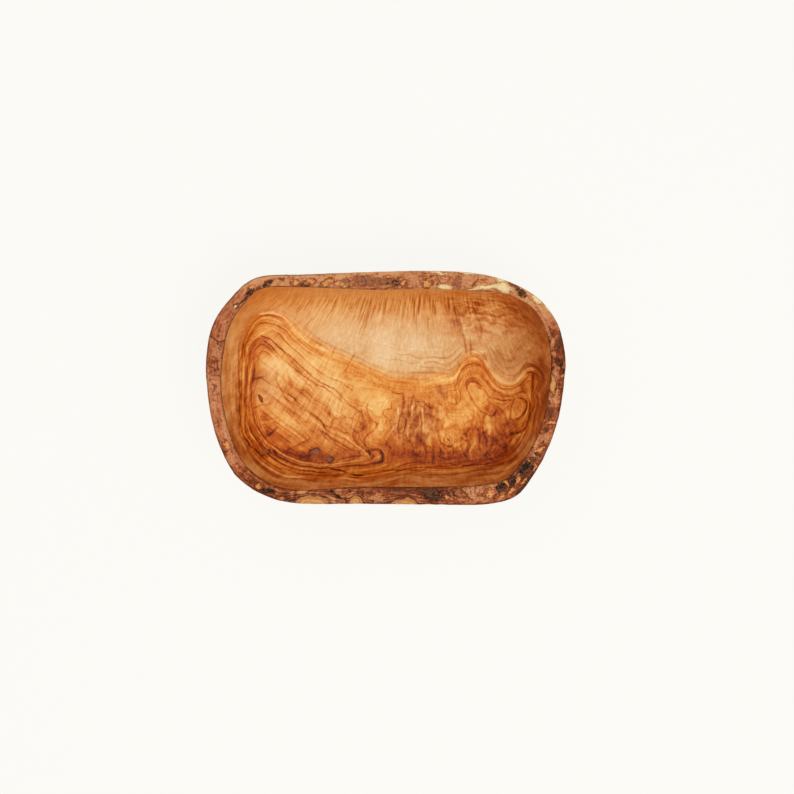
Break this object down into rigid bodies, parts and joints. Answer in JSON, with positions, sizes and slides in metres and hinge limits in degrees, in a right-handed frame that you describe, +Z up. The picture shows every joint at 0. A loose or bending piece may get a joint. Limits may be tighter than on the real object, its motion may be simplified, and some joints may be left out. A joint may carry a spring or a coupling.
{
  "type": "fruit bowl",
  "caption": "Rounded oblong fruit bowl carved from a block of olive wood, with a natural bark edge, a broad hollow and a flat foot to rest on.",
  "frame": {"origin": "middle of the flat foot, on the surface the bowl stands on, under the middle of the rim's outline", "axes": "+X along the bowl's length, +Y across it, +Z up out of the hollow"},
  "size_m": [0.3005, 0.197, 0.0786],
  "materials": {
    "olive_wood": "carved and sanded, oiled to a satin sheen, strong ring and flame figure",
    "inner_bark": "natural log skin, brushed and oiled, with pale sapwood showing in places",
    "outer_bark": "rough dark bark crust",
    "dead_knot": "sanded flush, dark rim of ingrown bark"
  },
  "bodies": {
    "root": {"bowl_body": "olive_wood", "natural_edge": "inner_bark", "bark_scabs": "outer_bark", "slit_knot": "dead_knot", "corner_knot": "dead_knot", "floor_knot_large": "dead_knot", "floor_knot_small": "dead_knot"}
  },
  "joints": []
}
